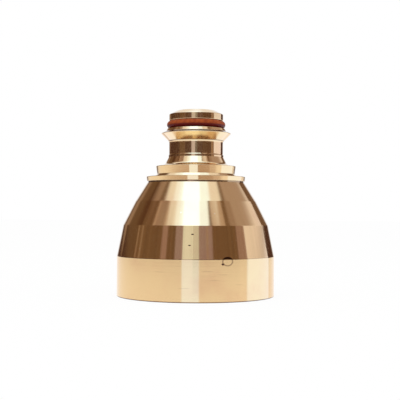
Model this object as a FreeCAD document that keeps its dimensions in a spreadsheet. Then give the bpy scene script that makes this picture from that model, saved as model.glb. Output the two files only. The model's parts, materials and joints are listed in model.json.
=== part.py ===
"""Plasma torch nozzle: a turned copper-alloy nozzle with a seal ring in its tip groove.

The nozzle stands on its open base with the tip up, +Z along its axis, in millimetres, and its
origin is the centre of the base.  Everything is turned, so each body is an outline of
(radius, level) points revolved about Z.  The outline climbs through a stack of bands, and every
level is the sum of the band heights below it, so a changed height carries all that is above it.
"""
import FreeCAD, Part
import os
import Sketcher

# Driving dimensions, in mm and degrees, from the base up and then inside.
SIZES = {
    "skirt_diameter": 28.0,
    "skirt_height": 7.1,
    "lower_cone_height": 5.5,
    "lower_cone_angle": 11.3,
    "middle_cone_height": 4.15,
    "middle_cone_angle": 27.0,
    "upper_cone_height": 3.3,
    "upper_cone_angle": 32.2,
    "undercut_height": 0.28,
    "undercut_depth": 0.15,
    "large_flange_height": 0.82,
    "large_flange_overhang": 0.15,
    "waist_height": 0.49,
    "waist_spread": 0.42,
    "small_flange_height": 1.4,
    "small_flange_diameter": 14.3,
    "flange_side_angle": 8.0,
    "flange_edge_break": 0.08,
    "flare_height": 1.6,
    "flare_angle": 26.0,
    "flare_fillet": 1.1,
    "land_height": 0.29,
    "neck_step_height": 0.23,
    "neck_step": 0.1,
    "neck_height": 2.27,
    "neck_diameter": 9.66,
    "neck_run_out": 0.24,
    "rim_underside_height": 1.37,
    "rim_diameter": 12.4,
    "rim_land_height": 0.1,
    "rim_slope_height": 0.34,
    "lip_height": 0.51,
    "lip_foot_diameter": 10.86,
    "lip_angle": 27.0,
    "groove_width": 1.4,
    "groove_floor_diameter": 7.74,
    "collar_height": 1.13,
    "collar_diameter": 9.68,
    "collar_edge_break": 0.12,
    "tip_cone_height": 0.67,
    "tip_face_diameter": 7.0,
    "base_edge_break": 0.15,
    "skirt_wall": 1.8,
    "skirt_bore_run_in": 2.4,
    "mouth_chamfer": 0.5,
    "seat_bore_diameter": 17.2,
    "seat_bore_length": 6.0,
    "chamber_diameter": 11.2,
    "chamber_length": 2.5,
    "chamber_taper_length": 4.0,
    "throat_diameter": 5.2,
    "converging_length": 1.45,
    "orifice_diameter": 2.3,
    "orifice_length": 2.7,
    "exit_bore_diameter": 3.6,
    "exit_bore_depth": 1.2,
    "ring_side_clearance": 0.01,
    "ring_seat_flat": 0.03,
}

# The bands of the outside, in the order in which they are stacked on the base.
BANDS = (
    "skirt_height",
    "lower_cone_height",
    "middle_cone_height",
    "upper_cone_height",
    "undercut_height",
    "large_flange_height",
    "waist_height",
    "small_flange_height",
    "flare_height",
    "land_height",
    "neck_step_height",
    "neck_height",
    "rim_underside_height",
    "rim_land_height",
    "rim_slope_height",
    "lip_height",
    "groove_width",
    "collar_height",
    "tip_cone_height",
)

FULL_TURN = 360.0
SAME_PLACE = 1e-6


def cell(name):
    """The expression that reads one driving dimension."""
    return f"sizes.{name}"


def top_of(band):
    """The expression of the level at which a band of the stack ends."""
    stack = BANDS[: BANDS.index(band) + 1]
    return " + ".join(cell(name) for name in stack)


def radius_of(diameter):
    """The expression of half a diameter."""
    return f"{cell(diameter)} / 2"


def slope(run, angle):
    """The expression of how far a face leans over a run, at an angle from the axis."""
    return f"{cell(run)} * tan({cell(angle)} * 1 deg)"


SKIRT_RADIUS = radius_of("skirt_diameter")
LOWER_SEAM_RADIUS = f"({SKIRT_RADIUS} - {slope('lower_cone_height', 'lower_cone_angle')})"
UPPER_SEAM_RADIUS = f"({LOWER_SEAM_RADIUS} - {slope('middle_cone_height', 'middle_cone_angle')})"
CONE_TOP_RADIUS = f"({UPPER_SEAM_RADIUS} - {slope('upper_cone_height', 'upper_cone_angle')})"
UNDERCUT_RADIUS = f"({CONE_TOP_RADIUS} - {cell('undercut_depth')})"
LARGE_FLANGE_RADIUS = f"({CONE_TOP_RADIUS} + {cell('large_flange_overhang')})"
LARGE_FLANGE_FOOT = f"({LARGE_FLANGE_RADIUS} - {slope('large_flange_height', 'flange_side_angle')})"
SMALL_FLANGE_RADIUS = radius_of("small_flange_diameter")
SMALL_FLANGE_FOOT = f"({SMALL_FLANGE_RADIUS} - {slope('small_flange_height', 'flange_side_angle')})"
WAIST_FOOT_RADIUS = f"({SMALL_FLANGE_FOOT} + {cell('waist_spread')})"
NECK_RADIUS = radius_of("neck_diameter")
LAND_RADIUS = f"({NECK_RADIUS} + {cell('neck_step')})"
FLARE_FOOT_RADIUS = f"({LAND_RADIUS} + {slope('flare_height', 'flare_angle')})"
LIP_TOP_RADIUS = f"({radius_of('lip_foot_diameter')} - {slope('lip_height', 'lip_angle')})"
TIP_LEVEL = top_of("tip_cone_height")


def make_sheet(doc):
    """Spreadsheet with one named cell for each driving dimension."""
    sheet = doc.addObject("Spreadsheet::Sheet", "sizes")
    for row, (name, value) in enumerate(SIZES.items(), start=1):
        sheet.set(f"A{row}", name)
        sheet.set(f"B{row}", str(value))
        sheet.setAlias(f"B{row}", name)
    doc.recompute()
    return sheet


def origin_plane(body, role):
    """One of the body's own origin planes."""
    for feature in body.Origin.OriginFeatures:
        if feature.Role == role:
            return feature
    raise RuntimeError(f"{body.Name} has no {role}")


def outline_sketch(body, name, points):
    """Closed sketch beside the axis, from (point name, radius, level) expressions.

    The radius and the level of each point are constraints of its own, called NAME_radius and
    NAME_level, so the outline follows the sheet and its points can be found again by name.
    """
    doc = body.Document
    sketch = body.newObject("Sketcher::SketchObject", name)
    sketch.AttachmentSupport = [(origin_plane(body, "XZ_Plane"), "")]
    sketch.MapMode = "FlatFace"
    places = [first_place(doc, radius, level) for _, radius, level in points]
    for index, start in enumerate(places):
        end = places[(index + 1) % len(places)]
        sketch.addGeometry(Part.LineSegment(start, end))
    for index in range(len(places)):
        following = (index + 1) % len(places)
        sketch.addConstraint(Sketcher.Constraint("Coincident", index, 2, following, 1))
    for index, (point, radius, level) in enumerate(points):
        bind_point(sketch, index, point, places[index], radius, level)
    doc.recompute()
    return sketch


def first_place(doc, radius, level):
    """Where an outline point starts, before its constraints are bound."""
    sheet = doc.getObject("sizes")
    return FreeCAD.Vector(sheet.evalExpression(radius), sheet.evalExpression(level), 0)


def bind_point(sketch, index, point, place, radius, level):
    """Constrain the start of one line from the origin, and bind it to the sheet."""
    for direction, value, suffix, expression in (
        ("DistanceX", place.x, "radius", radius),
        ("DistanceY", place.y, "level", level),
    ):
        number = sketch.addConstraint(Sketcher.Constraint(direction, -1, 1, index, 1, value))
        sketch.renameConstraint(number, f"{point}_{suffix}")
        sketch.setExpression(f"Constraints.{point}_{suffix}", expression)


def turn_feature(body, kind, name, sketch):
    """Revolve a sketch a full turn about its own vertical axis, to add or to cut."""
    feature = body.newObject(kind, name)
    feature.Profile = sketch
    feature.ReferenceAxis = (sketch, ["V_Axis"])
    feature.Angle = FULL_TURN
    body.Document.recompute()


def turned_cut(body, name, points):
    """Groove along an outline, checked to have removed material."""
    before = body.Shape.Volume
    sketch = outline_sketch(body, f"{name}_outline", points)
    turn_feature(body, "PartDesign::Groove", name, sketch)
    if not body.Shape.Volume < before:
        raise RuntimeError(f"{name} cuts nothing")
    return sketch


def corner(sketch, point):
    """Radius and level of an outline point."""
    radius = sketch.getDatum(f"{point}_radius").Value
    level = sketch.getDatum(f"{point}_level").Value
    return radius, level


def edge_name(shape, ring):
    """Name of the round edge at a (radius, level) ring."""
    radius, level = ring
    for number, edge in enumerate(shape.Edges, start=1):
        curve = edge.Curve
        if not isinstance(curve, Part.Circle):
            continue
        if abs(curve.Radius - radius) < SAME_PLACE and abs(curve.Center.z - level) < SAME_PLACE:
            return f"Edge{number}"
    raise RuntimeError(f"no edge at radius {radius}, level {level}")


def dress_edges(body, kind, name, rings, size):
    """Fillet or chamfer the round edges at some (radius, level) rings, by one named size."""
    base = body.Tip
    feature = body.newObject(kind, name)
    feature.Base = (base, [edge_name(base.Shape, ring) for ring in rings])
    sized = "Radius" if kind == "PartDesign::Fillet" else "Size"
    feature.setExpression(sized, cell(size))
    body.Document.recompute()


def outside_points():
    """Outside of the nozzle from the base to the tip, with the seal groove still filled."""
    return [
        ("base_centre", "0", "0"),
        ("base_edge", SKIRT_RADIUS, "0"),
        ("skirt_top", SKIRT_RADIUS, top_of("skirt_height")),
        ("lower_seam", LOWER_SEAM_RADIUS, top_of("lower_cone_height")),
        ("upper_seam", UPPER_SEAM_RADIUS, top_of("middle_cone_height")),
        ("cone_top", CONE_TOP_RADIUS, top_of("upper_cone_height")),
        ("undercut_foot", UNDERCUT_RADIUS, top_of("upper_cone_height")),
        ("undercut_top", UNDERCUT_RADIUS, top_of("undercut_height")),
        ("large_flange_foot", LARGE_FLANGE_FOOT, top_of("undercut_height")),
        ("large_flange_top", LARGE_FLANGE_RADIUS, top_of("large_flange_height")),
        ("waist_foot", WAIST_FOOT_RADIUS, top_of("large_flange_height")),
        ("small_flange_foot", SMALL_FLANGE_FOOT, top_of("waist_height")),
        ("small_flange_top", SMALL_FLANGE_RADIUS, top_of("small_flange_height")),
        ("flare_foot", FLARE_FOOT_RADIUS, top_of("small_flange_height")),
        ("land_foot", LAND_RADIUS, top_of("flare_height")),
        ("land_top", LAND_RADIUS, top_of("land_height")),
        ("neck_foot", NECK_RADIUS, top_of("neck_step_height")),
        ("neck_top", NECK_RADIUS, top_of("neck_height")),
        ("rim_land_foot", radius_of("rim_diameter"), top_of("rim_underside_height")),
        ("rim_land_top", radius_of("rim_diameter"), top_of("rim_land_height")),
        ("lip_foot", radius_of("lip_foot_diameter"), top_of("rim_slope_height")),
        ("lip_top", LIP_TOP_RADIUS, top_of("lip_height")),
        ("collar_foot", radius_of("collar_diameter"), top_of("lip_height")),
        ("collar_top", radius_of("collar_diameter"), top_of("collar_height")),
        ("tip_edge", radius_of("tip_face_diameter"), TIP_LEVEL),
        ("tip_centre", "0", TIP_LEVEL),
    ]


def groove_points():
    """Section of the seal groove, open towards the outside."""
    floor = radius_of("groove_floor_diameter")
    mouth = radius_of("rim_diameter")
    return [
        ("groove_floor_foot", floor, top_of("lip_height")),
        ("groove_mouth_foot", mouth, top_of("lip_height")),
        ("groove_mouth_top", mouth, top_of("groove_width")),
        ("groove_floor_top", floor, top_of("groove_width")),
    ]


def bore_points():
    """Inside of the nozzle: stepped bores, gas chamber, throat, arc orifice and exit bore.

    The wide bores are measured from the base and the narrow ones from the tip, and the
    throat takes up what is left between them.
    """
    skirt_bore = f"({SKIRT_RADIUS} - {cell('skirt_wall')})"
    skirt_top = f"{cell('skirt_height')} + {cell('skirt_bore_run_in')}"
    seat_top = f"{skirt_top} + {cell('seat_bore_length')}"
    chamber_top = f"{seat_top} + {cell('chamber_length')}"
    taper_top = f"{chamber_top} + {cell('chamber_taper_length')}"
    exit_foot = f"{TIP_LEVEL} - {cell('exit_bore_depth')}"
    orifice_foot = f"{exit_foot} - {cell('orifice_length')}"
    throat_top = f"{orifice_foot} - {cell('converging_length')}"
    return [
        ("bore_foot_centre", "0", "0"),
        ("bore_mouth", skirt_bore, "0"),
        ("skirt_bore_top", skirt_bore, skirt_top),
        ("seat_bore_foot", radius_of("seat_bore_diameter"), skirt_top),
        ("seat_bore_top", radius_of("seat_bore_diameter"), seat_top),
        ("chamber_foot", radius_of("chamber_diameter"), seat_top),
        ("chamber_top", radius_of("chamber_diameter"), chamber_top),
        ("throat_foot", radius_of("throat_diameter"), taper_top),
        ("throat_top", radius_of("throat_diameter"), throat_top),
        ("orifice_foot", radius_of("orifice_diameter"), orifice_foot),
        ("orifice_top", radius_of("orifice_diameter"), exit_foot),
        ("exit_bore_foot", radius_of("exit_bore_diameter"), exit_foot),
        ("exit_bore_top", radius_of("exit_bore_diameter"), TIP_LEVEL),
        ("bore_top_centre", "0", TIP_LEVEL),
    ]


def make_nozzle(doc):
    """Nozzle body, turned outside, grooved for its seal, bored through and edge-broken."""
    body = doc.addObject("PartDesign::Body", "nozzle")
    body.Label = "nozzle_body"
    outside = outline_sketch(body, "outside_outline", outside_points())
    turn_feature(body, "PartDesign::Revolution", "turned_outside", outside)
    groove = turned_cut(body, "seal_groove", groove_points())
    bores = turned_cut(body, "stepped_bore", bore_points())

    flange_edges = [corner(outside, "large_flange_top"), corner(outside, "small_flange_top")]
    collar_foot = (corner(outside, "collar_foot")[0], corner(groove, "groove_floor_top")[1])
    fillet = "PartDesign::Fillet"
    dress_edges(body, fillet, "flare_run_out", [corner(outside, "flare_foot")], "flare_fillet")
    chamfer = "PartDesign::Chamfer"
    dress_edges(body, chamfer, "neck_corner", [corner(outside, "neck_top")], "neck_run_out")
    dress_edges(body, chamfer, "flange_edges", flange_edges, "flange_edge_break")
    dress_edges(body, chamfer, "collar_edge", [collar_foot], "collar_edge_break")
    dress_edges(body, chamfer, "base_edge", [corner(outside, "base_edge")], "base_edge_break")
    dress_edges(body, chamfer, "bore_mouth", [corner(bores, "bore_mouth")], "mouth_chamfer")
    return body


def make_seal_ring(doc):
    """Seal ring in the tip groove: a round cord, flat where it bears on the groove floor."""
    cord = f"({cell('groove_width')} - 2 * {cell('ring_side_clearance')})"
    floor = radius_of("groove_floor_diameter")
    middle = f"{top_of('lip_height')} + {cell('groove_width')} / 2"
    cord_ring = doc.addObject("Part::Torus", "seal_cord")
    cord_ring.setExpression("Radius1", f"{floor} + {cord} / 2 - {cell('ring_seat_flat')}")
    cord_ring.setExpression("Radius2", f"{cord} / 2")
    cord_ring.setExpression("Placement.Base.z", middle)
    groove_floor = doc.addObject("Part::Cylinder", "groove_floor")
    groove_floor.setExpression("Radius", floor)
    groove_floor.setExpression("Height", cell("groove_width"))
    groove_floor.setExpression("Placement.Base.z", top_of("lip_height"))
    ring = doc.addObject("Part::Cut", "seal_ring")
    ring.Base = cord_ring
    ring.Tool = groove_floor
    ring.Label = "tip_o_ring"
    doc.recompute()
    return ring


def check_document(doc, parts):
    """Stop if any object failed to compute or any part has no sound shape."""
    for thing in doc.Objects:
        if "Invalid" in thing.State or "Error" in thing.State:
            raise RuntimeError(f"{thing.Name} failed: {thing.State}")
    for part in parts:
        if part.Shape.isNull() or not part.Shape.isValid():
            raise RuntimeError(f"{part.Label} has no valid shape")


def main():
    """Build the document and write each part to its own file."""
    doc = FreeCAD.newDocument("plasma_torch_nozzle")
    make_sheet(doc)
    parts = [make_nozzle(doc), make_seal_ring(doc)]
    doc.recompute()
    check_document(doc, parts)
    os.makedirs("parts", exist_ok=True)
    for part in parts:
        part.Shape.exportStep(f"parts/{part.Label}.step")
        box = part.Shape.BoundBox
        print(f"{part.Label}: {part.Shape.Volume:.2f} mm3, top at {box.ZMax:.3f} mm")


main()
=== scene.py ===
"""Looks of the turned plasma torch nozzle: its edges and finishes, its seal ring, the studio and the camera."""

from __future__ import annotations

import json
import logging
import math
from collections import defaultdict
from dataclasses import dataclass
from enum import Enum
from typing import Any, Mapping, Sequence

import bmesh
import bpy
from mathutils import Matrix, Vector

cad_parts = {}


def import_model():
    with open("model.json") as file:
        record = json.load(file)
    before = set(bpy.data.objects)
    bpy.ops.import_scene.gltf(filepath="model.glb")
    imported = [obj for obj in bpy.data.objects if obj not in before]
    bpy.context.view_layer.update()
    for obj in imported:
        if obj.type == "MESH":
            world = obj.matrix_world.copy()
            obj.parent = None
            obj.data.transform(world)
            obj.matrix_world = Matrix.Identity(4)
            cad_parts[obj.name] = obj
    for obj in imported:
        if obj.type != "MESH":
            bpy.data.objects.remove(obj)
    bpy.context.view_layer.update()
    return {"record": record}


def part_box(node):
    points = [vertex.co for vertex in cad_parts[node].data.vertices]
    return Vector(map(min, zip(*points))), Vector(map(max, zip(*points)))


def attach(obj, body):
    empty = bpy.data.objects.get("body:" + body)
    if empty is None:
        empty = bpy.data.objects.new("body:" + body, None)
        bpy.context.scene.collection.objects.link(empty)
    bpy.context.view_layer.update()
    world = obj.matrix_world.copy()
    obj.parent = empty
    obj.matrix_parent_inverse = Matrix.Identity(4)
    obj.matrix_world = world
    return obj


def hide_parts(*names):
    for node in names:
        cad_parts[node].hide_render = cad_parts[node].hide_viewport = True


LOG = logging.getLogger("nozzle")
MM = 0.001

Colour = tuple[float, float, float]


# ---------------------------------------------------------------- shader maths


class Signal:
    """An output socket that takes part in Python expressions."""

    def __init__(self, graph: "Graph", socket: bpy.types.NodeSocket) -> None:
        """Wraps a socket of a graph."""
        self.graph = graph
        self.socket = socket

    def __add__(self, other: "Number") -> "Signal":
        """self + other"""
        return self.graph.maths("ADD", self, other)

    def __radd__(self, other: "Number") -> "Signal":
        """other + self"""
        return self.graph.maths("ADD", other, self)

    def __sub__(self, other: "Number") -> "Signal":
        """self - other"""
        return self.graph.maths("SUBTRACT", self, other)

    def __rsub__(self, other: "Number") -> "Signal":
        """other - self"""
        return self.graph.maths("SUBTRACT", other, self)

    def __mul__(self, other: "Number") -> "Signal":
        """self * other"""
        return self.graph.maths("MULTIPLY", self, other)

    def __rmul__(self, other: "Number") -> "Signal":
        """other * self"""
        return self.graph.maths("MULTIPLY", other, self)

    def __truediv__(self, other: "Number") -> "Signal":
        """self / other"""
        return self.graph.maths("DIVIDE", self, other)

    def __rtruediv__(self, other: "Number") -> "Signal":
        """other / self"""
        return self.graph.maths("DIVIDE", other, self)

    def __neg__(self) -> "Signal":
        """-self"""
        return self.graph.maths("MULTIPLY", self, -1.0)

    def __abs__(self) -> "Signal":
        """abs(self)"""
        return self.graph.maths("ABSOLUTE", self)

    def most(self, other: "Number") -> "Signal":
        """The larger of the two values."""
        return self.graph.maths("MAXIMUM", self, other)

    def rise(self, low: "Number", high: "Number") -> "Signal":
        """A smooth step: 0 below low and 1 above high."""
        sockets = {"Value": self, "From Min": low, "From Max": high}
        return self.graph.node("ShaderNodeMapRange", {"interpolation_type": "SMOOTHSTEP"}, sockets)["Result"]

    def within(self, low: float, high: float, soft: float) -> "Signal":
        """A smooth window: 1 between low and high, with edges that are soft wide to each side."""
        return self.rise(low - soft, low + soft) * (1 - self.rise(high - soft, high + soft))


Number = Signal | float


class Outputs:
    """The outputs of a node, looked up by name or identifier."""

    def __init__(self, graph: "Graph", node: bpy.types.Node) -> None:
        """Wraps a node of a graph."""
        self.graph = graph
        self.node = node

    def __getitem__(self, name: str) -> Signal:
        """The output of that name or identifier."""
        return Signal(self.graph, find_socket(self.node.outputs, name))


def find_socket(sockets: Sequence[bpy.types.NodeSocket], name: str) -> bpy.types.NodeSocket:
    """Finds a socket by its identifier or else by its name.

    Args:
        sockets: The inputs or outputs of a node.
        name: The identifier or the name.

    Returns:
        The socket.
    """
    for socket in sockets:
        if socket.identifier == name:
            return socket
    return next(socket for socket in sockets if socket.name == name)


class Graph:
    """A node tree that is written as Python expressions."""

    def __init__(self, tree: bpy.types.NodeTree) -> None:
        """Empties a node tree and wraps it."""
        self.tree = tree
        tree.nodes.clear()

    def node(
        self,
        kind: str,
        settings: Mapping[str, Any] | None = None,
        sockets: Mapping[str, Any] | None = None,
    ) -> Outputs:
        """Adds a node.

        Args:
            kind: The node's type.
            settings: Its own settings, which are set before its sockets.
            sockets: Values or signals of its inputs, by name or identifier.

        Returns:
            The node's outputs.
        """
        made = self.tree.nodes.new(kind)
        for name, value in (settings or {}).items():
            setattr(made, name, value)
        for name, value in (sockets or {}).items():
            self.feed(find_socket(made.inputs, name), value)
        return Outputs(self, made)

    def feed(self, socket: bpy.types.NodeSocket, value: Any) -> None:
        """Links a signal to an input, or sets the input's own value."""
        if isinstance(value, Signal):
            self.tree.links.new(value.socket, socket)
        elif isinstance(value, tuple) and socket.type == "RGBA":
            socket.default_value = (*value, 1.0)
        else:
            socket.default_value = value

    def maths(self, operation: str, first: Number, second: Number = 0.0) -> Signal:
        """Adds a Math node on one or two values."""
        made = self.node("ShaderNodeMath", {"operation": operation}, {"Value": first, "Value_001": second})
        return made["Value"]

    def mix(self, factor: Number, first: Signal | Colour, second: Signal | Colour) -> Signal:
        """Mixes two colours."""
        sockets = {"Factor_Float": factor, "A_Color": first, "B_Color": second}
        return self.node("ShaderNodeMix", {"data_type": "RGBA"}, sockets)["Result_Color"]

    def noise(self, vector: Signal, scale: float, detail: float = 2.0) -> Signal:
        """Adds a 3D noise texture and gives its value."""
        sockets = {"Vector": vector, "Scale": scale, "Detail": detail}
        return self.node("ShaderNodeTexNoise", {"noise_dimensions": "3D"}, sockets)["Fac"]

    def streaks(self, along: Signal, scale: float, detail: float = 2.0) -> Signal:
        """Adds a noise texture that runs along one value only."""
        sockets = {"W": along, "Scale": scale, "Detail": detail}
        return self.node("ShaderNodeTexNoise", {"noise_dimensions": "1D"}, sockets)["Fac"]

    def blend(self, factor: Number, first: Signal, second: Signal) -> Signal:
        """Mixes two shaders."""
        sockets = {"Fac": factor, "Shader": first, "Shader_001": second}
        return self.node("ShaderNodeMixShader", None, sockets)["Shader"]

    def finish(self, kind: str, surface: Signal) -> None:
        """Ends the tree in its output node."""
        self.node(kind, None, {"Surface": surface})


@dataclass
class TurnedPlace:
    """Where a shaded point lies on a part turned about Z.

    Attributes:
        height: Height above the base, in millimetres.
        radius: Distance from the axis, in millimetres.
        angle: Angle about the axis from the side that faces -Y, in radians, positive towards +X.
        along: Distance along the turned outline, near enough, in millimetres.
        point: The place itself, in millimetres.
    """

    height: Signal
    radius: Signal
    angle: Signal
    along: Signal
    point: Signal

    @classmethod
    def of(cls, graph: Graph) -> "TurnedPlace":
        """Reads the place from the object's own coordinates."""
        place = graph.node("ShaderNodeTexCoord")["Object"]
        point = graph.node("ShaderNodeVectorMath", {"operation": "SCALE"}, {"Vector": place, "Scale": 1 / MM})["Vector"]
        parts = graph.node("ShaderNodeSeparateXYZ", None, {"Vector": point})
        x, y, height = parts["X"], parts["Y"], parts["Z"]
        radius = graph.maths("SQRT", x * x + y * y)
        angle = graph.maths("ARCTAN2", x, -y)
        return cls(height, radius, angle, height + radius * 0.73, point)


# -------------------------------------------------------------------- finishes


@dataclass(frozen=True)
class Speck:
    """A small mark on the turned surface.

    Attributes:
        angle: Degrees about the axis, positive to the right of the front.
        height: Height above the base, in millimetres.
        width: Width round the part, in millimetres.
        tall: Height of the mark, in millimetres.
        colour: What the mark turns the metal into.
    """

    angle: float
    height: float
    width: float
    tall: float
    colour: Colour


@dataclass(frozen=True)
class ShadeLine:
    """A dark line of painted shade round the part, in a corner or under an edge where shade falls.

    Attributes:
        low: Its lower edge above the base, in millimetres.
        high: Its upper edge, in millimetres.
        strength: How much of the metal the painted shade hides.
    """

    low: float
    high: float
    strength: float


# Dark brown of the dried stain and the dark specks, and also of the painted shade lines.
DARK_STAIN_AND_SHADE: Colour = (0.09, 0.035, 0.02)
DULL_MARK: Colour = (0.62, 0.40, 0.22)
BRIGHT_MARK: Colour = (0.95, 0.86, 0.66)


@dataclass(frozen=True)
class TurnedCopper:
    """Bright copper alloy as it leaves the lathe, with fine turning lines, light tarnish and painted shade lines in its
    corners.
    """

    colour: Colour = (0.82, 0.585, 0.31)
    tarnish: Colour = (0.78, 0.47, 0.27)
    roughness: float = 0.105
    across_lines: float = 0.85
    line_depth: float = 0.0000010
    stain_angle: float = 22.2
    stain_height: float = 6.75
    stain_width: float = 0.92
    stain_drop: float = 0.70
    specks: tuple[Speck, ...] = (
        Speck(-2.2, 11.2, 0.46, 0.20, DARK_STAIN_AND_SHADE),
        Speck(-4.2, 9.4, 0.44, 0.18, DARK_STAIN_AND_SHADE),
        Speck(-43.0, 8.7, 0.30, 0.12, BRIGHT_MARK),
        Speck(15.3, 14.6, 0.22, 0.10, BRIGHT_MARK),
        Speck(-12.0, 14.8, 0.20, 0.10, BRIGHT_MARK),
        Speck(-25.0, 5.0, 1.6, 0.06, DULL_MARK),
        Speck(8.0, 5.2, 1.9, 0.07, DULL_MARK),
        Speck(13.0, 3.7, 1.4, 0.06, DULL_MARK),
        Speck(19.0, 4.6, 1.7, 0.06, DULL_MARK),
        Speck(-8.0, 2.4, 2.0, 0.05, DULL_MARK),
        Speck(31.0, 2.9, 1.3, 0.05, DULL_MARK),
    )
    # Painted shade: dark lines at the foot, at the seam above the skirt, under the large flange, at the neck's step,
    # under the rim and on the rim's slope.
    shade_lines: tuple[ShadeLine, ...] = (
        ShadeLine(-0.10, 0.17, 0.85),
        ShadeLine(7.08, 7.14, 0.45),
        ShadeLine(20.04, 20.34, 0.55),
        ShadeLine(24.92, 25.06, 0.45),
        ShadeLine(27.46, 27.62, 0.60),
        ShadeLine(28.93, 29.23, 0.80),
    )

    def build(self) -> bpy.types.Material:
        """Makes the material.

        Returns:
            The material, which reads Object coordinates only.
        """
        material = bpy.data.materials.new("turned_copper")
        material.use_nodes = True
        graph = Graph(material.node_tree)
        place = TurnedPlace.of(graph)
        cloud = graph.noise(place.point, 0.22, 3.0)
        colour = graph.mix(cloud.rise(0.42, 0.8) * 0.5, self.colour, self.tarnish)
        colour = self.stain(graph, place, colour)
        for speck in self.specks:
            colour = graph.mix(self.speck_mask(place, speck), colour, speck.colour)
        # Painted shade in the corners darkens the colour and makes the metal a little rougher.
        painted_shade: Number = 0.0
        for line in self.shade_lines:
            painted_shade = place.height.within(line.low, line.high, 0.03) * line.strength + painted_shade
        colour = graph.mix(painted_shade, colour, DARK_STAIN_AND_SHADE)
        fine = graph.streaks(place.along, 9.0, 3.0)
        coarse = graph.streaks(place.along, 2.4, 2.0)
        sockets = {"Height": fine * 0.6 + coarse, "Distance": self.line_depth, "Strength": 1.0}
        bump = graph.node("ShaderNodeBump", None, sockets)["Normal"]
        roughness = self.roughness + (fine - 0.5) * 0.02 + cloud.rise(0.5, 0.9) * 0.02
        shader = graph.node(
            "ShaderNodeBsdfPrincipled",
            {"distribution": "GGX"},
            {
                "Base Color": colour,
                "Metallic": 1.0,
                "Roughness": roughness + painted_shade * 0.08,
                "Anisotropic": self.across_lines,
                "Anisotropic Rotation": 0.25,
                "Normal": bump,
            },
        )["BSDF"]
        graph.finish("ShaderNodeOutputMaterial", shader)
        return material

    def stain(self, graph: Graph, place: TurnedPlace, colour: Signal) -> Signal:
        """Adds the dried drop on the seam above the skirt.

        Args:
            graph: The material's graph.
            place: The shaded place.
            colour: The metal's colour so far.

        Returns:
            The colour with the stain.
        """
        across = (place.angle - math.radians(self.stain_angle)) * place.radius / self.stain_width
        down = (place.height - self.stain_height) / self.stain_drop
        distance = graph.maths("SQRT", across * across + down * down)
        top = down.rise(0.35, 0.75)
        ring = distance.rise(0.72 - top * 0.34, 0.90 - top * 0.22) * (1 - distance.rise(1.04, 1.18))
        blot = 1 - graph.maths("SQRT", (across + 0.92) * (across + 0.92) + (down + 0.62) * (down + 0.62)).rise(0.16, 0.36)
        return graph.mix((ring * (0.5 + top * 0.5)).most(blot), colour, DARK_STAIN_AND_SHADE)

    @staticmethod
    def speck_mask(place: TurnedPlace, speck: Speck) -> Signal:
        """Masks one small mark."""
        across = (place.angle - math.radians(speck.angle)) * place.radius / (speck.width / 2)
        up = (place.height - speck.height) / (speck.tall / 2)
        return 1 - (across * across + up * up).rise(0.5, 1.6)


@dataclass(frozen=True)
class BoredCopper:
    """The same alloy inside the bores, drilled and bored rather than finely turned."""

    colour: Colour = (0.74, 0.49, 0.27)
    dull: Colour = (0.52, 0.30, 0.16)
    roughness: float = 0.34
    line_depth: float = 0.000004

    def build(self) -> bpy.types.Material:
        """Makes the material."""
        material = bpy.data.materials.new("bored_copper")
        material.use_nodes = True
        graph = Graph(material.node_tree)
        place = TurnedPlace.of(graph)
        lines = graph.streaks(place.along, 5.0, 2.0)
        sockets = {"Height": lines, "Distance": self.line_depth, "Strength": 1.0}
        bump = graph.node("ShaderNodeBump", None, sockets)["Normal"]
        cloud = graph.noise(place.point, 0.5, 3.0)
        shader = graph.node(
            "ShaderNodeBsdfPrincipled",
            None,
            {
                "Base Color": graph.mix(cloud.rise(0.4, 0.8) * 0.5, self.colour, self.dull),
                "Metallic": 1.0,
                "Roughness": self.roughness + cloud * 0.1,
                "Anisotropic": 0.6,
                "Anisotropic Rotation": 0.25,
                "Normal": bump,
            },
        )["BSDF"]
        graph.finish("ShaderNodeOutputMaterial", shader)
        return material


@dataclass(frozen=True)
class SealRubber:
    """Rust-red silicone rubber with a little dust, painted darker below about the middle of the cord as shade, where
    the ring's faint moulding line runs.
    """

    colour: Colour = (0.35, 0.072, 0.015)
    shade: Colour = (0.23, 0.038, 0.009)
    # lower is the dark red of painted shade, laid on the cord below the height middle.
    lower: Colour = (0.105, 0.006, 0.004)
    dust: Colour = (0.55, 0.22, 0.12)
    middle: float = 30.45

    def build(self) -> bpy.types.Material:
        """Makes the material."""
        material = bpy.data.materials.new("seal_rubber")
        material.use_nodes = True
        graph = Graph(material.node_tree)
        place = TurnedPlace.of(graph)
        mottle = graph.noise(place.point, 1.6, 3.0)
        colour = graph.mix(mottle.rise(0.35, 0.75), self.colour, self.shade)
        # Painted shade: the cord turns dark red below the height middle.
        colour = graph.mix(1 - place.height.rise(self.middle - 0.25, self.middle + 0.10), colour, self.lower)
        grains = graph.noise(place.point, 9.0, 2.0).rise(0.68, 0.78)
        colour = graph.mix(grains * 0.4, colour, self.dust)
        height = graph.noise(place.point, 6.0, 3.0)
        sockets = {"Height": height, "Distance": 0.00001, "Strength": 1.0}
        bump = graph.node("ShaderNodeBump", None, sockets)["Normal"]
        shader = graph.node(
            "ShaderNodeBsdfPrincipled",
            None,
            {
                "Base Color": colour,
                "Roughness": 0.36 + mottle * 0.12,
                "Specular IOR Level": 0.10,
                "Normal": bump,
            },
        )["BSDF"]
        graph.finish("ShaderNodeOutputMaterial", shader)
        return material


# ---------------------------------------------------------------------- meshes


@dataclass(frozen=True)
class Corner:
    """A corner of a turned outline.

    Attributes:
        radius: Distance from the axis, in millimetres.
        height: Height above the base, in millimetres.
        setback: How far the rounding reaches along each side, in millimetres; 0 keeps the corner sharp.
        facets: Facets in the rounding.
    """

    radius: float
    height: float
    setback: float = 0.0
    facets: int = 2


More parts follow.
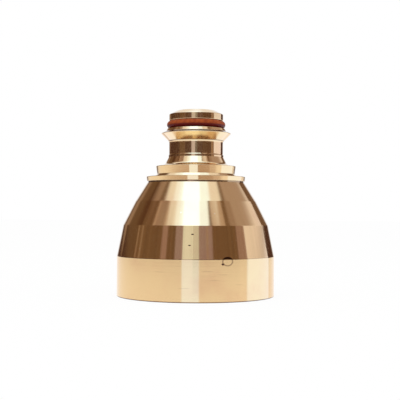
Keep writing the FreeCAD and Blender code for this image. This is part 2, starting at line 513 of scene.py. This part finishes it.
@dataclass(frozen=True)
class Facet:
    """A face of a turned mesh, as its outline shows it.

    Attributes:
        width: Its length along the outline, in metres.
        slope: Its normal in the plane of the outline, outwards and up.
    """

    width: float
    slope: Vector

    @classmethod
    def of(cls, data: bpy.types.Mesh, face: bpy.types.MeshPolygon) -> "Facet":
        """Measures a face of a turned mesh."""
        corners = [data.vertices[index].co for index in face.vertices]
        outline = [Vector((corner.xy.length, corner.z)) for corner in corners]
        radial = face.center.xy.normalized()
        slope = Vector((face.normal.xy.dot(radial), face.normal.z)).normalized()
        return cls(max((point - outline[0]).length for point in outline), slope)

    @property
    def wide(self) -> bool:
        """Whether it is a face of the outline and not of a rounding."""
        return self.width > 0.2 * MM

    def shaded(self, neighbours: Sequence["Facet"]) -> Vector:
        """Finds the normal that it shows at one of its corners.

        Args:
            neighbours: All the facets that meet at the corner.

        Returns:
            Its own normal where it is wide, and otherwise that of the facets that it runs into.
        """
        if self.wide:
            return self.slope
        near = [facet for facet in neighbours if facet.slope.dot(self.slope) > 0.5]
        wide = [facet for facet in near if facet.wide]
        if wide:
            return max(wide, key=lambda facet: facet.slope.dot(self.slope)).slope
        return sum((facet.slope for facet in near), Vector((0.0, 0.0))).normalized()


class Lathe:
    """Turns outlines about the Z axis into one closed mesh."""

    SEGMENTS = 256
    WELD = 1e-8

    def __init__(self) -> None:
        """Starts an empty mesh."""
        self.mesh = bmesh.new()
        self.corners: list[Corner] = []

    def turn(self, outline: Sequence[Corner], material_index: int) -> None:
        """Turns one open outline.

        Args:
            outline: Its corners in order.
            material_index: The material slot of its faces.
        """
        bm = self.mesh
        before = set(bm.faces)
        verts = [bm.verts.new((corner.radius * MM, 0.0, corner.height * MM)) for corner in outline]
        edges = [bm.edges.new(pair) for pair in zip(verts, verts[1:])]
        self.corners.extend(outline)
        bmesh.ops.spin(
            bm,
            geom=[*verts, *edges],
            cent=(0.0, 0.0, 0.0),
            axis=(0.0, 0.0, 1.0),
            angle=math.tau,
            steps=self.SEGMENTS,
            use_merge=True,
        )
        for face in set(bm.faces) - before:
            face.material_index = material_index
            face.smooth = True

    def close(self) -> None:
        """Welds the outlines where they meet and turns every face outwards."""
        bmesh.ops.remove_doubles(self.mesh, verts=self.mesh.verts, dist=self.WELD)
        bmesh.ops.recalc_face_normals(self.mesh, faces=self.mesh.faces)

    def ring(self, corner: Corner) -> list[bmesh.types.BMEdge]:
        """The edges of the circle that a corner makes."""
        radius, height = corner.radius * MM, corner.height * MM
        near = 1e-7
        found = []
        for edge in self.mesh.edges:
            first, second = (vert.co for vert in edge.verts)
            if abs(first.z - height) > near or abs(second.z - height) > near:
                continue
            if abs(first.xy.length - radius) < near and abs(second.xy.length - radius) < near:
                found.append(edge)
        return found

    def dress_edges(self) -> None:
        """Rounds the corners that have a setback and keeps the others sharp."""
        groups: dict[tuple[float, int], list[bmesh.types.BMEdge]] = {}
        for corner in dict.fromkeys(self.corners):
            edges = self.ring(corner)
            if corner.setback == 0.0:
                for edge in edges:
                    edge.smooth = False
            else:
                groups.setdefault((corner.setback, corner.facets), []).extend(edges)
        for (setback, facets), edges in groups.items():
            bmesh.ops.bevel(
                self.mesh,
                geom=edges,
                offset=setback * MM,
                offset_type="OFFSET",
                segments=facets,
                profile=0.5,
                affect="EDGES",
                clamp_overlap=True,
                loop_slide=True,
                material=-1,
            )

    def to_object(self, name: str, materials: Sequence[bpy.types.Material]) -> bpy.types.Object:
        """Writes the mesh to an object with even shading on its wide faces.

        Args:
            name: The piece's name.
            materials: Its material slots in order.

        Returns:
            The object, at the origin.
        """
        data = bpy.data.meshes.new(name)
        self.mesh.to_mesh(data)
        self.mesh.free()
        for material in materials:
            data.materials.append(material)
        piece = bpy.data.objects.new(name, data)
        bpy.context.scene.collection.objects.link(piece)
        self.even_shading(data)
        return piece

    @staticmethod
    def even_shading(data: bpy.types.Mesh) -> None:
        """Gives each wide face its own turned normals, which the roundings beside it run into."""
        facets = [Facet.of(data, face) for face in data.polygons]
        around: dict[int, list[Facet]] = defaultdict(list)
        for face, facet in zip(data.polygons, facets):
            for index in face.vertices:
                around[index].append(facet)
        normals = [Vector()] * len(data.loops)
        for face, facet in zip(data.polygons, facets):
            for loop in face.loop_indices:
                index = data.loops[loop].vertex_index
                slope = facet.shaded(around[index])
                radial = data.vertices[index].co.xy.normalized()
                normals[loop] = Vector((radial.x * slope.x, radial.y * slope.x, slope.y))
        data.normals_split_custom_set(normals)


# ---------------------------------------------------------------------- pieces


def mount(record: Mapping[str, Any], name: str) -> Mapping[str, Any]:
    """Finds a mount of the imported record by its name."""
    return next(row for row in record["mounts"] if row["name"] == name)


@dataclass
class NozzleBody:
    """The turned nozzle: skirt, domed shoulder, flanges, neck, sealing rim, seal groove and tip.

    Sizes are in millimetres. Radii and heights that the record's mounts give come from there.
    """

    skirt_radius: float
    skirt_height: float
    total_height: float
    collar_radius: float
    collar_top: float
    skirt_bore_radius: float
    skirt_bore_top: float
    seat_bore_radius: float
    seat_bore_top: float
    orifice_radius: float
    orifice_top: float
    orifice_length: float

    lower_seam: tuple[float, float] = (12.901, 12.60)
    upper_seam: tuple[float, float] = (10.786, 16.75)
    shoulder_top: tuple[float, float] = (8.708, 20.05)
    undercut_depth: float = 0.15
    undercut_height: float = 0.28
    large_flange_foot: float = 8.743
    large_flange_edge: float = 8.858
    large_flange_height: float = 0.82
    waist_foot: float = 7.373
    waist_top: tuple[float, float] = (6.953, 21.64)
    small_flange_edge: float = 7.15
    small_flange_top: float = 23.04
    flare_foot: float = 5.71
    flare_top: tuple[float, float] = (4.93, 24.64)
    land_height: float = 0.29
    neck_step_height: float = 0.23
    neck_radius: float = 4.83
    neck_top: float = 27.43
    rim_radius: float = 6.20
    rim_edge: tuple[float, float] = (28.80, 28.90)
    lip_foot: tuple[float, float] = (5.43, 29.24)
    lip_top: tuple[float, float] = (5.17, 29.75)
    groove_floor: float = 3.87
    groove_top: float = 31.15
    tip_radius: float = 3.5
    chamber_radius: float = 5.6
    chamber_top: float = 18.0
    throat_radius: float = 2.6
    throat_foot: float = 22.0
    throat_top: float = 27.6
    exit_radius: float = 1.8
    mouth_chamfer: float = 0.5

    @classmethod
    def from_frame(cls, record: Mapping[str, Any]) -> "NozzleBody":
        """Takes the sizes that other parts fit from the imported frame.

        Args:
            record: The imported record.

        Returns:
            The nozzle's sizes.
        """
        _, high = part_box("nozzle_body")
        skirt, collar = mount(record, "skirt_outside"), mount(record, "tip_collar")
        skirt_bore, seat_bore = mount(record, "skirt_bore"), mount(record, "seat_bore")
        orifice = mount(record, "arc_orifice")
        return cls(
            skirt_radius=skirt["dims"]["r_mm"],
            skirt_height=skirt["pos_m"][2] / MM,
            total_height=high.z / MM,
            collar_radius=collar["dims"]["r_mm"],
            collar_top=collar["pos_m"][2] / MM,
            skirt_bore_radius=skirt_bore["dims"]["r_mm"],
            skirt_bore_top=skirt_bore["pos_m"][2] / MM + skirt_bore["dims"]["length_mm"],
            seat_bore_radius=seat_bore["dims"]["r_mm"],
            seat_bore_top=seat_bore["pos_m"][2] / MM + seat_bore["dims"]["length_mm"],
            orifice_radius=orifice["dims"]["r_mm"],
            orifice_top=orifice["pos_m"][2] / MM,
            orifice_length=orifice["dims"]["length_mm"],
        )

    def outside(self) -> list[Corner]:
        """The turned outside, from the mouth of the skirt up to the tip face."""
        undercut_radius = self.shoulder_top[0] - self.undercut_depth
        flange_foot = self.shoulder_top[1] + self.undercut_height
        flange_top = flange_foot + self.large_flange_height
        land_top = self.flare_top[1] + self.land_height
        return [
            Corner(self.skirt_bore_radius + self.mouth_chamfer, 0.0, 0.04),
            Corner(self.skirt_radius, 0.0, 0.15, 3),
            Corner(self.skirt_radius, self.skirt_height, 0.06),
            Corner(*self.lower_seam, 0.03),
            Corner(*self.upper_seam, 0.03),
            Corner(*self.shoulder_top, 0.03),
            Corner(undercut_radius, self.shoulder_top[1]),
            Corner(undercut_radius, flange_foot),
            Corner(self.large_flange_foot, flange_foot, 0.05),
            Corner(self.large_flange_edge, flange_top, 0.09, 3),
            Corner(self.waist_foot, flange_top, 0.12, 3),
            Corner(*self.waist_top),
            Corner(self.small_flange_edge, self.small_flange_top, 0.08, 3),
            Corner(self.flare_foot, self.small_flange_top, 0.687, 8),
            Corner(*self.flare_top),
            Corner(self.flare_top[0], land_top, 0.03),
            Corner(self.neck_radius, land_top + self.neck_step_height),
            Corner(self.neck_radius, self.neck_top, 0.25, 5),
            Corner(self.rim_radius, self.rim_edge[0], 0.04),
            Corner(self.rim_radius, self.rim_edge[1], 0.04),
            Corner(*self.lip_foot, 0.04),
            Corner(*self.lip_top, 0.05),
            Corner(self.groove_floor, self.lip_top[1], 0.1),
            Corner(self.groove_floor, self.groove_top, 0.1),
            Corner(self.collar_radius, self.groove_top, 0.11, 3),
            Corner(self.collar_radius, self.collar_top, 0.08, 3),
            Corner(self.tip_radius, self.total_height, 0.06, 3),
            Corner(self.exit_radius, self.total_height, 0.08, 3),
        ]

    def inside(self) -> list[Corner]:
        """The bores, from the tip face back down to the mouth of the skirt."""
        return [
            Corner(self.exit_radius, self.total_height, 0.08, 3),
            Corner(self.exit_radius, self.orifice_top, 0.05),
            Corner(self.orifice_radius, self.orifice_top, 0.04),
            Corner(self.orifice_radius, self.orifice_top - self.orifice_length),
            Corner(self.throat_radius, self.throat_top, 0.1),
            Corner(self.throat_radius, self.throat_foot, 0.1),
            Corner(self.chamber_radius, self.chamber_top, 0.1),
            Corner(self.chamber_radius, self.seat_bore_top, 0.06),
            Corner(self.seat_bore_radius, self.seat_bore_top, 0.1),
            Corner(self.seat_bore_radius, self.skirt_bore_top, 0.06),
            Corner(self.skirt_bore_radius, self.skirt_bore_top, 0.15),
            Corner(self.skirt_bore_radius, self.mouth_chamfer),
            Corner(self.skirt_bore_radius + self.mouth_chamfer, 0.0, 0.04),
        ]

    def build(self) -> bpy.types.Object:
        """Turns the nozzle and puts it in the place of its CAD node."""
        lathe = Lathe()
        lathe.turn(self.outside(), 0)
        lathe.turn(self.inside(), 1)
        lathe.close()
        lathe.dress_edges()
        piece = lathe.to_object("turned_nozzle", [TurnedCopper().build(), BoredCopper().build()])
        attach(piece, "root")
        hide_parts("nozzle_body")
        return piece


@dataclass
class SealRing:
    """The round rubber ring that sits in the groove below the tip. Sizes are in metres."""

    ring_radius: float
    cord_radius: float
    height: float
    inner_radius: float
    cord_points: int = 64
    segments: int = 192
    flash_reach: float = 0.02 * MM

    @classmethod
    def from_frame(cls, nozzle: NozzleBody) -> "SealRing":
        """Takes the ring's size from its CAD node and its seat from the nozzle's groove."""
        low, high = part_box("tip_o_ring")
        cord_radius = (high.z - low.z) / 2
        return cls(high.x - cord_radius, cord_radius, (low.z + high.z) / 2, nozzle.groove_floor * MM)

    def build(self) -> bpy.types.Object:
        """Sweeps the cord round the groove, with its flat seat and its moulding line."""
        bm = bmesh.new()
        stand = Matrix.Translation((self.ring_radius, 0.0, self.height)) @ Matrix.Rotation(math.pi / 2, 4, "X")
        bmesh.ops.create_circle(bm, segments=self.cord_points, radius=self.cord_radius, matrix=stand)
        outermost = max(bm.verts, key=lambda vert: vert.co.x)
        for vert in bm.verts:
            vert.co.x = max(vert.co.x, self.inner_radius)
        outermost.co.x -= self.flash_reach / 2
        bmesh.ops.spin(
            bm,
            geom=[*bm.verts, *bm.edges],
            cent=(0.0, 0.0, 0.0),
            axis=(0.0, 0.0, 1.0),
            angle=math.tau,
            steps=self.segments,
            use_merge=True,
        )
        bmesh.ops.remove_doubles(bm, verts=bm.verts, dist=Lathe.WELD)
        bmesh.ops.recalc_face_normals(bm, faces=bm.faces)
        for face in bm.faces:
            face.smooth = True
        data = bpy.data.meshes.new("seal_ring")
        bm.to_mesh(data)
        bm.free()
        data.materials.append(SealRubber().build())
        piece = bpy.data.objects.new("seal_ring", data)
        bpy.context.scene.collection.objects.link(piece)
        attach(piece, "root")
        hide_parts("tip_o_ring")
        return piece


# ---------------------------------------------------------------------- studio


@dataclass(frozen=True)
class Panel:
    """An upright part of the studio, as the bright metal sees it.

    Attributes:
        left: Its left side, in degrees from the camera's side of the nozzle, positive to the right.
        right: Its right side, in the same degrees.
        low: Its lower edge, in degrees above the horizon.
        high: Its upper edge, in the same degrees.
        colour: Its brightness and tint.
        soft: Softness of its sides, in degrees.
        soft_ends: Softness of its lower and upper edges, in degrees.
    """

    left: float
    right: float
    low: float
    high: float
    colour: Colour
    soft: float = 1.0
    soft_ends: float = 5.0

    def mask(self, azimuth: Signal, elevation: Signal) -> Signal:
        """Masks the panel, from a direction in degrees."""
        sides = azimuth.within(self.left, self.right, self.soft)
        return sides * elevation.within(self.low, self.high, self.soft_ends)


@dataclass(frozen=True)
class Ceiling:
    """A soft light overhead, as a rectangle on a plane at unit height above the nozzle."""

    left: float
    right: float
    front: float
    back: float
    colour: Colour
    soft: float = 0.02


class Shade(Enum):
    """The tones of the studio that the metal mirrors."""

    ROOM = (0.22, 0.135, 0.085)
    DEEP = (0.11, 0.055, 0.032)
    GLOOM = (0.17, 0.105, 0.065)
    LINE = (0.34, 0.24, 0.18)
    PINK = (0.38, 0.265, 0.255)
    MAUVE = (0.37, 0.285, 0.325)
    TAN = (0.40, 0.30, 0.265)
    FAWN = (0.49, 0.395, 0.375)
    SAND = (0.57, 0.45, 0.40)
    WINDOW = (0.95, 0.92, 1.03)
    STRIP = (0.88, 0.99, 1.08)
    STRIP_EDGE = (0.74, 0.80, 0.86)
    SOOT = (0.085, 0.042, 0.030)
    LILAC = (0.60, 0.55, 0.74)
    BLUSH = (1.10, 1.16, 1.45)
    WHITE = (0.97, 1.02, 1.12)
    CREAM = (1.00, 1.05, 1.18)
    PALE = (1.16, 1.42, 1.85)
    BRIGHT = (1.20, 1.62, 2.25)
    HOT = (1.5, 2.1, 3.2)
    SWEEP = (1.07, 1.06, 1.07)
    SWEEP_NEAR = (1.20, 1.38, 1.75)
    SWEEP_DEEP = (0.97, 0.89, 0.82)
    SWEEP_FOOT = (1.08, 1.28, 1.15)
    SWEEP_BAND = (0.62, 0.49, 0.43)
    SWEEP_DUSK = (0.42, 0.34, 0.32)
    SWEEP_SHADE = (0.48, 0.34, 0.26)
    SWEEP_STRIP = (1.13, 1.36, 1.77)
    SWEEP_SIDE = (1.18, 1.40, 1.80)


@dataclass(frozen=True)
class Studio:
    """The white sweep, the soft lamps and what the bright metal mirrors."""

    floor_reach: float = 2.0
    fill: float = 0.85
    sweep_edge: float = -1.6
    panels: tuple[Panel, ...] = (
        Panel(-156, -120, 30, 60, Shade.GLOOM.value),
        Panel(-137, -102, -10, 30, Shade.GLOOM.value),
        Panel(-120, -106, 28, 44, Shade.DEEP.value),
        Panel(-150, -138, -10, 24, Shade.LINE.value, 3),
        Panel(-101, -98, -10, 26, Shade.LINE.value),
        Panel(-92.5, -89, -10, 26, Shade.LINE.value),
        Panel(-118, -96, 40, 60, Shade.TAN.value, 3),
        Panel(-84.5, -80, 34, 50, Shade.SAND.value),
        Panel(-80, -64, 34, 50, Shade.TAN.value),
        Panel(-64, -48, 34, 60, Shade.SAND.value),
        Panel(-53, -44, 8, 30, Shade.PINK.value),
        Panel(-31, -19, 8, 40, Shade.MAUVE.value),
        Panel(5, 26, 8, 40, Shade.MAUVE.value),
        Panel(16.5, 19.5, -10, 40, Shade.TAN.value),
        Panel(34, 60, 38, 60, Shade.SAND.value),
        Panel(60, 68, 38, 56, Shade.ROOM.value),
        Panel(66, 81, -10, 34, Shade.PINK.value),
        Panel(68, 86, 34, 52, Shade.TAN.value, 2),
        Panel(81, 136, 30, 60, Shade.FAWN.value, 2),
        Panel(81, 136, 8, 30, Shade.WINDOW.value),
        Panel(-155, -136, -12, 4.5, Shade.SOOT.value, 1, 0.5),
        Panel(-136, 155, -12, 7.5, Shade.SOOT.value, 1, 1.2),
        Panel(26, 62, -12, 7.5, Shade.DEEP.value, 3, 1.2),
        Panel(66, 81, -12, 7.5, Shade.LINE.value, 1, 1.2),
        Panel(81, 130, -12, 7.5, Shade.BLUSH.value, 1, 1.2),
        Panel(-74, -48, -12, 7.5, Shade.GLOOM.value, 2, 1.2),
        Panel(-19.5, -4, -12, 7.5, Shade.LILAC.value, 1, 1.2),
        Panel(-19.5, -3, 8, 60, Shade.STRIP.value),
        Panel(-3, 5, 8, 60, Shade.STRIP_EDGE.value),
    )
    sweep: tuple[Panel, ...] = (
        Panel(-190, 190, -47, -20, Shade.SWEEP_NEAR.value),
        Panel(-190, 190, -100, -47, Shade.SWEEP_DEEP.value),
        Panel(-85, 68, -100, -68, Shade.SWEEP_FOOT.value, 5.0),
        Panel(-156, -112, -19, -10.5, Shade.SWEEP_DUSK.value, 8.0, 1.0),
        Panel(-112, 62, -19, -10.5, Shade.SWEEP_BAND.value, 8.0, 1.0),
        Panel(5, 40, -19, -10.5, Shade.SWEEP_SHADE.value, 2.0, 1.0),
        Panel(-19.5, 5, -45, 10, Shade.SWEEP_STRIP.value),
        Panel(79, 132, -45, 10, Shade.SWEEP_SIDE.value, 2.0),
    )
    ceilings: tuple[Ceiling, ...] = (
        Ceiling(-0.78, 0.64, -0.58, 0.9, Shade.CREAM.value, 0.03),
        Ceiling(-0.70, 0.29, -0.95, -0.5, Shade.CREAM.value),
        Ceiling(-0.57, 0.37, -0.95, 0.9, Shade.PALE.value, 0.03),
        Ceiling(-0.45, 0.34, -0.95, 0.9, Shade.BRIGHT.value, 0.02),
        Ceiling(-0.36, 0.11, -0.95, 0.9, Shade.HOT.value, 0.02),
    )
    backdrop_side: float = 158.0

    def build(self) -> None:
        """Makes the world, the floor and the lamps."""
        self.build_world()
        self.build_floor()
        self.build_lamp("key_light", Vector((-0.14, -0.20, 0.30)), 0.22, 0.30)
        self.build_lamp("side_light", Vector((0.26, -0.10, 0.16)), 0.16, 0.10)

    def mirrored_room(self, graph: Graph) -> Signal:
        """Paints what the metal mirrors, by direction.

        Args:
            graph: The world's graph.

        Returns:
            The colour seen in each direction.
        """
        direction = graph.node("ShaderNodeTexCoord")["Generated"]
        parts = graph.node("ShaderNodeSeparateXYZ", None, {"Vector": direction})
        x, y, z = parts["X"], parts["Y"], parts["Z"]
        azimuth = graph.maths("ARCTAN2", x, -y) * math.degrees(1.0)
        elevation = graph.maths("ARCSINE", z) * math.degrees(1.0)
        grain = graph.streaks(azimuth, 0.25, 2.0)
        room = graph.mix(grain.rise(0.3, 0.7), Shade.GLOOM.value, Shade.ROOM.value)
        for panel in self.panels:
            room = graph.mix(panel.mask(azimuth, elevation), room, panel.colour)
        streak = graph.streaks(azimuth, 0.55, 3.0).rise(0.5, 0.72)
        room = graph.mix(streak * 0.22, room, Shade.DEEP.value)
        backdrop = abs(azimuth).rise(self.backdrop_side - 4, self.backdrop_side + 6)
        room = graph.mix(backdrop, room, Shade.WHITE.value)
        sheet: Signal | Colour = Shade.SWEEP.value
        for panel in self.sweep:
            sheet = graph.mix(panel.mask(azimuth, elevation), sheet, panel.colour)
        room = graph.mix(1 - elevation.rise(self.sweep_edge - 0.7, self.sweep_edge + 0.7), room, sheet)
        height = z.most(0.02)
        across, ahead = x / height, y / height
        for ceiling in self.ceilings:
            wide = across.within(ceiling.left, ceiling.right, ceiling.soft)
            deep = ahead.within(ceiling.front, ceiling.back, ceiling.soft * 4)
            room = graph.mix(wide * deep * z.rise(0.2, 0.3), room, ceiling.colour)
        return room

    def build_world(self) -> None:
        """Makes the world: white to the camera, the room to the metal, plain fill to the rest."""
        world = bpy.data.worlds.new("studio")
        world.use_nodes = True
        world.cycles.sampling_method = "NONE"
        bpy.context.scene.world = world
        graph = Graph(world.node_tree)
        rays = graph.node("ShaderNodeLightPath")
        room = graph.node("ShaderNodeBackground", None, {"Color": self.mirrored_room(graph)})["Background"]
        fill = {"Color": (1.0, 1.0, 1.0), "Strength": self.fill}
        plain = graph.node("ShaderNodeBackground", None, fill)["Background"]
        white = graph.node("ShaderNodeBackground", None, {"Color": (1.0, 1.0, 1.0), "Strength": 1.0})["Background"]
        lit = graph.blend(rays["Is Glossy Ray"], plain, room)
        shown = rays["Is Camera Ray"].most(rays["Is Transmission Ray"])
        graph.finish("ShaderNodeOutputWorld", graph.blend(shown, lit, white))

    def build_floor(self) -> None:
        """Lays the white sweep that the nozzle stands on."""
        bm = bmesh.new()
        bmesh.ops.create_grid(bm, x_segments=1, y_segments=1, size=self.floor_reach)
        data = bpy.data.meshes.new("floor")
        bm.to_mesh(data)
        bm.free()
        material = bpy.data.materials.new("white_sweep")
        material.use_nodes = True
        graph = Graph(material.node_tree)
        rays = graph.node("ShaderNodeLightPath")
        seen = rays["Is Camera Ray"].most(rays["Is Transmission Ray"])
        paper = graph.node("ShaderNodeBsdfDiffuse", None, {"Color": (0.93, 0.93, 0.93)})["BSDF"]
        white = graph.node("ShaderNodeEmission", None, {"Color": (1.0, 1.0, 1.0), "Strength": 1.0})["Emission"]
        sheet = graph.blend(seen * 0.95, paper, white)
        clear = graph.node("ShaderNodeBsdfTransparent")["BSDF"]
        below = graph.node("ShaderNodeNewGeometry")["Backfacing"] * rays["Is Camera Ray"]
        passed = below.most(rays["Is Glossy Ray"])
        graph.finish("ShaderNodeOutputMaterial", graph.blend(passed, sheet, clear))
        data.materials.append(material)
        floor = bpy.data.objects.new("floor", data)
        bpy.context.scene.collection.objects.link(floor)

    @staticmethod
    def build_lamp(name: str, place: Vector, size: float, power: float) -> None:
        """Hangs a soft square lamp that faces the nozzle.

        Args:
            name: The lamp's name.
            place: Where it hangs, in metres.
            size: Its side, in metres.
            power: Its power, in watts.
        """
        lamp = bpy.data.lights.new(name, "AREA")
        lamp.shape = "SQUARE"
        lamp.size = size
        lamp.energy = power
        hung = bpy.data.objects.new(name, lamp)
        hung.location = place
        hung.rotation_euler = (Vector((0.0, 0.0, 0.015)) - place).to_track_quat("-Z", "Y").to_euler()
        hung.visible_glossy = False
        bpy.context.scene.collection.objects.link(hung)


@dataclass(frozen=True)
class Camera:
    """The camera, a little above the middle of the skirt and close to level.

    Attributes:
        distance: From the nozzle's axis, in metres.
        height: Above the base, in metres.
        lens: Focal length on a 36 mm sensor, in millimetres.
        turn: How far it looks to the right of the axis, in degrees.
        rise: How far it looks up, in degrees.
        roll: How far it is turned about its own view, in degrees.
    """

    distance: float = 0.15555
    height: float = 0.01445
    lens: float = 78.3
    turn: float = 0.277
    rise: float = 0.955
    roll: float = 0.30

    def build(self) -> None:
        """Places the camera and makes it the scene's own."""
        data = bpy.data.cameras.new("camera")
        data.lens = self.lens
        data.sensor_width = 36.0
        data.clip_start, data.clip_end = 0.01, 10.0
        camera = bpy.data.objects.new("camera", data)
        camera.matrix_world = (
            Matrix.Translation((0.0, -self.distance, self.height))
            @ Matrix.Rotation(math.radians(-self.turn), 4, "Z")
            @ Matrix.Rotation(math.radians(90.0 + self.rise), 4, "X")
            @ Matrix.Rotation(math.radians(self.roll), 4, "Z")
        )
        bpy.context.scene.collection.objects.link(camera)
        bpy.context.scene.camera = camera


def main() -> None:
    """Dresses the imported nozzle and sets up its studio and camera."""
    logging.basicConfig(level=logging.INFO, format="%(name)s: %(message)s")
    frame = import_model()
    bpy.context.scene.view_settings.view_transform = "Standard"
    nozzle = NozzleBody.from_frame(frame["record"])
    pieces = [nozzle.build(), SealRing.from_frame(nozzle).build()]
    for piece in pieces:
        LOG.info("%s: %d faces", piece.name, len(piece.data.polygons))
    Studio().build()
    Camera().build()


if __name__ == "__main__":
    main()
